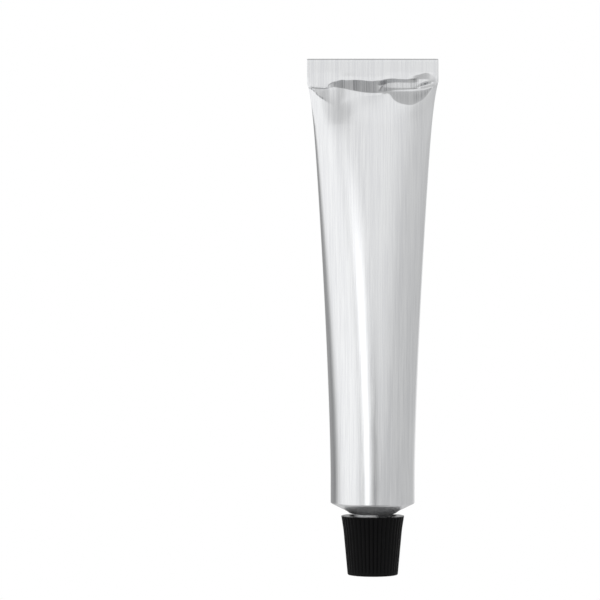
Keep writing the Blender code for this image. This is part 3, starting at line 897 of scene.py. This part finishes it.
# %% Drawing lines of the tube's aluminium
# Width and length of the lines in mm, and how much each layer counts
DRAWING_LINES = ((1.6, 60.0, 0.26), (0.6, 26.0, 0.34), (0.24, 9.0, 0.40))
LINE_BUMP = 0.010 * MM

satin, tree, metal = new_finish("satin_drawn_aluminium", {"Metallic": 1.0, "Roughness": 0.25})
uv = put(tree, "ShaderNodeUVMap", uv_map="foil")
relief = None
for width, length, weight in DRAWING_LINES:
    stretched = put(
        tree, "ShaderNodeMapping", {"Scale": (GIRTH / (width * MM), BLANK_LENGTH / (length * MM), 1.0)},
        {"Vector": uv},
    )
    noise = put(
        tree, "ShaderNodeTexNoise", {"Scale": 1.0, "Detail": 1.0, "Roughness": 0.5},
        {"Vector": stretched}, noise_dimensions="2D",
    )
    part = put(tree, "ShaderNodeMath", {1: weight}, {0: noise}, operation="MULTIPLY")
    if relief is None:
        relief = part
    else:
        both = {0: relief, 1: part}
        relief = put(tree, "ShaderNodeMath", None, both, operation="ADD")
lines = put(tree, "ShaderNodeBump", {"Strength": 1.0, "Distance": LINE_BUMP}, {"Height": relief})
print(f"drawing lines: {len(DRAWING_LINES)} layers, {LINE_BUMP / MM} mm high")

# %% [markdown]
# The shoulder was turned, not drawn: it has a fine grain in rings and is a little frosted, so it gives
# back less of the room. The height of a point tells shoulder and sleeve apart. On the sleeve the lines
# also change the roughness, so that they show in the highlight.

# %% Turned shoulder
GRAIN_SIZE = 0.22 * MM
GRAIN_BUMP = 0.05 * MM
SHOULDER_METAL = 0.78
SHOULDER_ROUGHNESS = 0.20
SATIN_ROUGHNESS = (0.17, 0.24)

place = put(tree, "ShaderNodeTexCoord")
height = put(tree, "ShaderNodeSeparateXYZ", None, {0: place.outputs["Object"]})
roll = {"From Min": SHOULDER_EDGE - 0.2 * MM, "From Max": SHOULDER_EDGE + 0.1 * MM}
turned_part = put(
    tree, "ShaderNodeMapRange", {**roll, "To Min": 1.0, "To Max": 0.0}, {"Value": height.outputs["Z"]}
)
rings = put(tree, "ShaderNodeMapping", {"Scale": (1.0, 1.0, 3.0)}, {"Vector": place.outputs["Object"]})
grain = put(tree, "ShaderNodeTexNoise", {"Scale": 1 / GRAIN_SIZE, "Detail": 1.5}, {"Vector": rings})
fine = put(tree, "ShaderNodeMath", {1: 0.01}, {0: turned_part}, operation="MAXIMUM")
grained = put(
    tree, "ShaderNodeBump", {"Distance": GRAIN_BUMP},
    {"Height": grain, "Strength": fine, "Normal": lines},
)
join(tree, grained, metal.inputs["Normal"])

satin_rough = put(
    tree, "ShaderNodeMapRange",
    {"From Min": 0.35, "From Max": 0.65, "To Min": SATIN_ROUGHNESS[0], "To Max": SATIN_ROUGHNESS[1]},
    {"Value": relief},
)
rough = put(tree, "ShaderNodeMix", {"B": SHOULDER_ROUGHNESS}, {"Factor": turned_part, "A": satin_rough})
join(tree, rough, metal.inputs["Roughness"])
frosted = put(
    tree, "ShaderNodeMapRange", {"To Min": 1.0, "To Max": SHOULDER_METAL}, {"Value": turned_part}
)
join(tree, frosted, metal.inputs["Metallic"])
print(f"shoulder: {SHOULDER_METAL} metallic up to {SHOULDER_EDGE / MM:.1f} mm")

# %% [markdown]
# The lines change the brightness of the colour as well, so that they show in the flat grey. The painted
# shade from the attribute greys the foil's colour, in upright streaks.

# %% Colour of the tube's aluminium and its painted shade
BARE_ALUMINIUM = "#F5F6F7"
WORN_ALUMINIUM = "#EAEBED"
# The grey that the painted shade turns the foil towards
SHADE_GREY = "#A2A4A6"
STREAK_WIDTH = 0.4 * MM
STREAK_STRENGTH = (0.2, 1.2)

tone = put(tree, "ShaderNodeMapRange", {"From Min": 0.38, "From Max": 0.62}, {"Value": relief})
colour = put(
    tree, "ShaderNodeMix", {"A": linear(WORN_ALUMINIUM), "B": linear(BARE_ALUMINIUM)}, {"Factor": tone},
    data_type="RGBA",
)
# Painted shade: the attribute, broken into upright streaks, greys the colour
shade_layer = put(tree, "ShaderNodeAttribute", attribute_name="painted_shade")
across = put(
    tree, "ShaderNodeMath", {1: 1 / STREAK_WIDTH}, {0: height.outputs["X"]}, operation="MULTIPLY"
)
streaks = put(
    tree, "ShaderNodeTexNoise", {"Scale": 1.0, "Detail": 2.0}, {"W": across}, noise_dimensions="1D"
)
streaked = put(
    tree, "ShaderNodeMapRange",
    {"From Min": 0.35, "From Max": 0.65, "To Min": STREAK_STRENGTH[0], "To Max": STREAK_STRENGTH[1]},
    {"Value": streaks},
)
darker = put(
    tree, "ShaderNodeMath", None, {0: shade_layer.outputs["Fac"], 1: streaked}, operation="MULTIPLY",
    use_clamp=True,
)
colour = put(
    tree, "ShaderNodeMix", {"B": linear(SHADE_GREY)},
    {"Factor": darker, "A": colour.outputs["Result"]}, data_type="RGBA",
)
join(tree, colour.outputs["Result"], metal.inputs["Base Color"])
coat(tube, satin)

# %% [markdown]
# The cap's plastic is black polypropylene, moulded in a spark-eroded tool, so it is deep black with a
# fine grain and reflects hardly more than its edges. The real grain is about 0.03 mm, and is drawn at
# 0.12 mm so that it shows. The colour is a little greyer towards the end, slow clouds in the roughness
# keep the ribs from looking painted, and only the flat rim is polished.

# %% Polypropylene of the cap
# The black at the cap's end, a little greyer than the black at the rim
END_BLACK = "#0E0E0F"
DEEP_BLACK = "#040405"
CAP_GRAIN = 0.12 * MM
CAP_GRAIN_BUMP = 0.006 * MM
CAP_CLOUDS = 2.5 * MM
CAP_ROUGHNESS = (0.42, 0.56)
RIM_ROUGHNESS = 0.25
# How far below the rim the polish starts, and is full
RIM_POLISH = (0.15 * MM, 0.05 * MM)

plastic, tree, shell = new_finish(
    "black_moulded_polypropylene",
    {"Roughness": 0.5, "Specular IOR Level": 0.12, "IOR": 1.49},
)
place = put(tree, "ShaderNodeTexCoord")
grain = put(
    tree, "ShaderNodeTexNoise", {"Scale": 1 / CAP_GRAIN, "Detail": 2.0},
    {"Vector": place.outputs["Object"]},
)
bump = put(tree, "ShaderNodeBump", {"Strength": 0.5, "Distance": CAP_GRAIN_BUMP}, {"Height": grain})
join(tree, bump, shell.inputs["Normal"])
height = put(tree, "ShaderNodeSeparateXYZ", None, {0: place.outputs["Object"]})
deeper = put(tree, "ShaderNodeMapRange", {"From Max": CAP_HEIGHT}, {"Value": height.outputs["Z"]})
colour = put(
    tree, "ShaderNodeMix", {"A": linear(END_BLACK), "B": linear(DEEP_BLACK)}, {"Factor": deeper},
    data_type="RGBA",
)
join(tree, colour.outputs["Result"], shell.inputs["Base Color"])
cloudy = put(
    tree, "ShaderNodeTexNoise", {"Scale": 1 / CAP_CLOUDS, "Detail": 3.0},
    {"Vector": place.outputs["Object"]},
)
rough = put(
    tree, "ShaderNodeMapRange",
    {"From Min": 0.3, "From Max": 0.7, "To Min": CAP_ROUGHNESS[0], "To Max": CAP_ROUGHNESS[1]},
    {"Value": cloudy},
)
polished = put(
    tree, "ShaderNodeMapRange",
    {"From Min": CAP_HEIGHT - RIM_POLISH[0], "From Max": CAP_HEIGHT - RIM_POLISH[1]},
    {"Value": height.outputs["Z"]},
)
rough = put(tree, "ShaderNodeMix", {"B": RIM_ROUGHNESS}, {"Factor": polished, "A": rough})
join(tree, rough, shell.inputs["Roughness"])
coat(cap, plastic)

# %% [markdown]
# The membrane is the same aluminium as the tube, but it was sheared and pressed, not drawn, so its
# marks are rings and a fine grain. Rings come from the distance to the axis, through a noise with one
# dimension only.

# %% Aluminium of the membrane
PRESSED_ALUMINIUM = "#E8E9EA"
RING_WIDTH = 0.18 * MM
RING_BUMP = 0.006 * MM
RING_ROUGHNESS = (0.22, 0.36)

foil_end, tree, metal = new_finish(
    "pressed_bare_aluminium", {"Metallic": 1.0, "Base Color": linear(PRESSED_ALUMINIUM)}
)
place = put(tree, "ShaderNodeTexCoord")
flat = put(
    tree, "ShaderNodeVectorMath", {1: (1.0, 1.0, 0.0)}, {0: place.outputs["Object"]},
    operation="MULTIPLY",
)
out = put(tree, "ShaderNodeVectorMath", None, {0: flat}, operation="LENGTH")
rings = put(
    tree, "ShaderNodeTexNoise", {"Scale": 1 / RING_WIDTH, "Detail": 2.0}, {"W": out.outputs["Value"]},
    noise_dimensions="1D",
)
bump = put(tree, "ShaderNodeBump", {"Strength": 1.0, "Distance": RING_BUMP}, {"Height": rings})
join(tree, bump, metal.inputs["Normal"])
rough = put(
    tree, "ShaderNodeMapRange",
    {"From Min": 0.3, "From Max": 0.7, "To Min": RING_ROUGHNESS[0], "To Max": RING_ROUGHNESS[1]},
    {"Value": rings},
)
join(tree, rough, metal.inputs["Roughness"])
coat(membrane, foil_end)

# %% [markdown]
# Foam sheet shows closed cells of about a fifth of a millimetre, cut open on the faces. Voronoi cells
# give the dimples, and the walls between them are a little whiter.

# %% Foam of the liner
DIMPLE_WHITE = "#E2E0DA"
WALL_WHITE = "#F5F4F0"
CELL_SIZE = 0.2 * MM
CELL_DEPTH = 0.03 * MM

foam, tree, soft = new_finish("white_closed_cell_foam", {"Roughness": 0.8, "Specular IOR Level": 0.3})
place = put(tree, "ShaderNodeTexCoord")
cells = put(
    tree, "ShaderNodeTexVoronoi", {"Scale": 1 / CELL_SIZE}, {"Vector": place.outputs["Object"]},
    feature="SMOOTH_F1",
)
bump = put(
    tree, "ShaderNodeBump", {"Strength": 0.6, "Distance": CELL_DEPTH},
    {"Height": cells.outputs["Distance"]},
)
join(tree, bump, soft.inputs["Normal"])
colour = put(
    tree, "ShaderNodeMix", {"A": linear(DIMPLE_WHITE), "B": linear(WALL_WHITE)},
    {"Factor": cells.outputs["Distance"]}, data_type="RGBA",
)
join(tree, colour.outputs["Result"], soft.inputs["Base Color"])
coat(liner, foam)

# %% [markdown]
# The oil is hidden in the tube, and it keeps its CAD solid. It is a clear golden oil, a little deeper
# in colour where slow swirls of it pass.

# %% Oil
PALE_OIL = "#E3B659"
DEEP_OIL = "#D39A33"
SWIRL_SIZE = 9 * MM

oil, tree, clear = new_finish(
    "clear_golden_oil", {"Roughness": 0.03, "IOR": 1.47, "Transmission Weight": 1.0}
)
place = put(tree, "ShaderNodeTexCoord")
swirls = put(
    tree, "ShaderNodeTexNoise", {"Scale": 1 / SWIRL_SIZE, "Detail": 3.0, "Distortion": 1.0},
    {"Vector": place.outputs["Object"]},
)
colour = put(
    tree, "ShaderNodeMix", {"A": linear(PALE_OIL), "B": linear(DEEP_OIL)}, {"Factor": swirls},
    data_type="RGBA",
)
join(tree, colour.outputs["Result"], clear.inputs["Base Color"])
oil_fill = bpy.data.objects["oil_fill"]
for slot in oil_fill.material_slots:
    slot.material = oil
print(f"{oil_fill.name}: {oil.name}, {len(tree.nodes)} nodes")

# %% [markdown]
# Each piece stands in for its CAD node and rides on that node's body, so the cap and its liner still
# unscrew while the membrane stays on the tube.

# %% Ride on the CAD bodies
RIDERS = (
    (tube, "tube_body", "tube", "satin_aluminium"),
    (membrane, "nozzle_membrane", "tube", "membrane_aluminium"),
    (liner, "cap_liner", "liner", "white_foam"),
    (cap, "cap_shell", "cap", "black_polypropylene"),
)
for piece, node, body, finish in RIDERS:
    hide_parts(node)
    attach(piece, body)
    print(f"{piece.name} stands in for {node}")

# %% [markdown]
# The floor is a white light table, which the camera sees as plain white and the metal as a softer
# grey. It lies 8 mm below the cap, so that the cap has room to come off the neck. The drop doesn't
# show, because a glowing table has no shadow on it.

# %% Floor
FLOOR_RADIUS = 150 * MM
FLOOR_HEIGHT = -8 * MM
FLOOR_GLOW = 0.60
bpy.ops.object.select_all(action="DESELECT")
bpy.ops.mesh.primitive_circle_add(
    vertices=96, radius=FLOOR_RADIUS, fill_type="NGON", location=(0, 0, FLOOR_HEIGHT)
)
floor = bpy.context.object
floor.name = "light_table"
white = bpy.data.materials.new("lit_white_acrylic")
white.use_nodes = True
tree = white.node_tree
tree.nodes.clear()
rays = put(tree, "ShaderNodeLightPath")
glow = put(
    tree, "ShaderNodeMapRange", {"To Min": FLOOR_GLOW, "To Max": 1.0},
    {"Value": rays.outputs["Is Camera Ray"]},
)
sheet = put(tree, "ShaderNodeEmission", {"Color": linear("#FFFFFF")}, {"Strength": glow})
put(tree, "ShaderNodeOutputMaterial", None, {"Surface": sheet})
floor.data.materials.append(white)
print(f"{floor.name}: {FLOOR_RADIUS / MM:.0f} mm in radius, at {FLOOR_HEIGHT / MM:.0f} mm")

# %% [markdown]
# The tube stands in a white room: a tall softbox at the left, a narrow bright strip just left of the
# camera, a dark gap where the camera stands, and a ceiling that is left dark. Satin metal shows all of
# that as soft upright bands, so the world is painted with the same few windows of light. A window's
# middle is given by its azimuth, from the camera's side towards +X, and by its height above the
# horizon. The strip and the gap lean: they stand further left above the horizon than below it, so that
# their bright and dark bands bend on the tapering sleeve as they should.

# %% Place of a window of light
STRIP_LEAN = 5.8
LEAN_HEIGHTS = (0.8, 3.1)
world = bpy.data.worlds.new("studio")
bpy.context.scene.world = world
world.use_nodes = True
tree = world.node_tree
tree.nodes.clear()
place = put(tree, "ShaderNodeTexCoord")
axes = put(tree, "ShaderNodeSeparateXYZ", None, {0: place.outputs["Generated"]})
behind = put(tree, "ShaderNodeMath", {1: -1.0}, {0: axes.outputs["Y"]}, operation="MULTIPLY")
sides = {0: axes.outputs["X"], 1: behind}
around = put(tree, "ShaderNodeMath", None, sides, operation="ARCTAN2")
raised = put(tree, "ShaderNodeMath", None, {0: axes.outputs["Z"]}, operation="ARCSINE")
starts, ends, leans = (math.radians(angle) for angle in (*LEAN_HEIGHTS, STRIP_LEAN))
lean = put(
    tree, "ShaderNodeMapRange", {"From Min": starts, "From Max": ends, "To Max": leans},
    {"Value": raised}, interpolation_type="SMOOTHSTEP",
)
leaning = put(tree, "ShaderNodeMath", None, {0: around, 1: lean}, operation="ADD")


def window(value, middle, half, soft):
    """1 inside middle plus or minus half, in degrees, and down to 0 over soft degrees outside it."""
    away = put(tree, "ShaderNodeMath", {1: math.radians(middle)}, {0: value}, operation="SUBTRACT")
    size = put(tree, "ShaderNodeMath", None, {0: away}, operation="ABSOLUTE")
    edges = {"From Min": math.radians(half - soft / 2), "From Max": math.radians(half + soft / 2)}
    return put(
        tree, "ShaderNodeMapRange", {**edges, "To Min": 1.0, "To Max": 0.0}, {"Value": size},
        interpolation_type="SMOOTHSTEP",
    )


print(f"the strip and the gap lean by {STRIP_LEAN} degrees, {len(tree.nodes)} nodes so far")

# %% [markdown]
# A bright window adds light to the room and a dark one takes it away, and their sum is the strength of
# one background. The camera itself sees a second background instead, which is plain white.

# %% Studio
# Each light: azimuth from the camera's side towards +X, half its width, how soft its sides are,
# middle and half of its height above the horizon, how soft its ends are, and how bright it is
STRIP_AZIMUTH = -15.6
GAP_AZIMUTH = 5.0
LIGHTS = {
    "room": (0, 400, 1, 0, 400, 1, 0.58),
    "left softbox": (-73, 37, 30, -10, 70, 30, 0.40),
    "front fill": (-4, 36, 40, 20.5, 20.5, 6, 0.22),
    "right fill": (62, 46, 40, 14, 13, 8, 0.05),
    "high front light": (0, 50, 30, 30, 9, 8, 0.08),
    "low front light": (3, 10, 10, 12, 9, 6, 0.05),
    "corner above the softbox": (-37, 17, 14, 45, 26, 8, -0.36),
    "low right side": (110, 45, 30, -40, 41, 6, -0.035),
    "strip light": (STRIP_AZIMUTH, 6.7, 6, -30, 39, 6, 0.86),
    "gap at the camera": (GAP_AZIMUTH, 6.5, 6, -30, 33.6, 3, -0.31),
    "low left corner": (-113, 20, 28, -45, 42, 5, -0.16),
    "back left": (-155, 36, 30, -20, 60, 30, -0.25),
    "backdrop right": (180, 30, 20, 10, 40, 20, 0.35),
    "backdrop left": (-180, 14, 10, 10, 40, 20, 0.35),
    "dark ceiling": (0, 400, 1, 120, 77, 9, -0.085),
    "darkest ceiling at the front": (0, 50, 40, 120, 48, 20, -0.04),
    "darkest ceiling at the back": (180, 50, 40, 75, 25, 20, -0.08),
    "darkest ceiling past the back": (-180, 50, 40, 75, 25, 20, -0.08),
}
total = None
for azimuth, half_around, soft_around, lift, half_up, soft_up, brightness in LIGHTS.values():
    upright = leaning if azimuth in (STRIP_AZIMUTH, GAP_AZIMUTH) else around
    wide = window(upright, azimuth, half_around, soft_around)
    tall = window(raised, lift, half_up, soft_up)
    part = put(tree, "ShaderNodeMath", None, {0: wide, 1: tall}, operation="MULTIPLY")
    part = put(tree, "ShaderNodeMath", {1: brightness}, {0: part}, operation="MULTIPLY")
    if total is None:
        total = part
    else:
        both = {0: total, 1: part}
        total = put(tree, "ShaderNodeMath", None, both, operation="ADD")
studio = put(tree, "ShaderNodeBackground", {"Color": linear("#FFFFFF")}, {"Strength": total})
backdrop = put(tree, "ShaderNodeBackground", {"Color": linear("#FFFFFF"), "Strength": 1.0})
rays = put(tree, "ShaderNodeLightPath")
chosen = put(
    tree, "ShaderNodeMixShader", None, {0: rays.outputs["Is Camera Ray"], 1: studio, 2: backdrop}
)
put(tree, "ShaderNodeOutputWorld", None, {"Surface": chosen})
print(f"studio: {len(LIGHTS)} windows, {len(tree.nodes)} nodes")

# %% [markdown]
# A product picture is taken from far away with a long lens, so that the tube's sides hardly converge.
# The camera stands 609 mm in front, level, at about half the tube's height, and a little to the left,
# which puts the tube right of the middle. The Standard view keeps the white room white.

# %% Camera
camera_data = bpy.data.cameras.new("camera")
camera_data.lens = 162
camera_data.sensor_width = 36
camera = bpy.data.objects.new("camera", camera_data)
camera.location = (-16.4 * MM, -609 * MM, 61.9 * MM)
camera.rotation_euler = (math.radians(90), 0, 0)
bpy.context.scene.collection.objects.link(camera)
bpy.context.scene.camera = camera
bpy.context.scene.view_settings.view_transform = "Standard"
print("camera in mm:", [round(v / MM, 1) for v in camera.location])
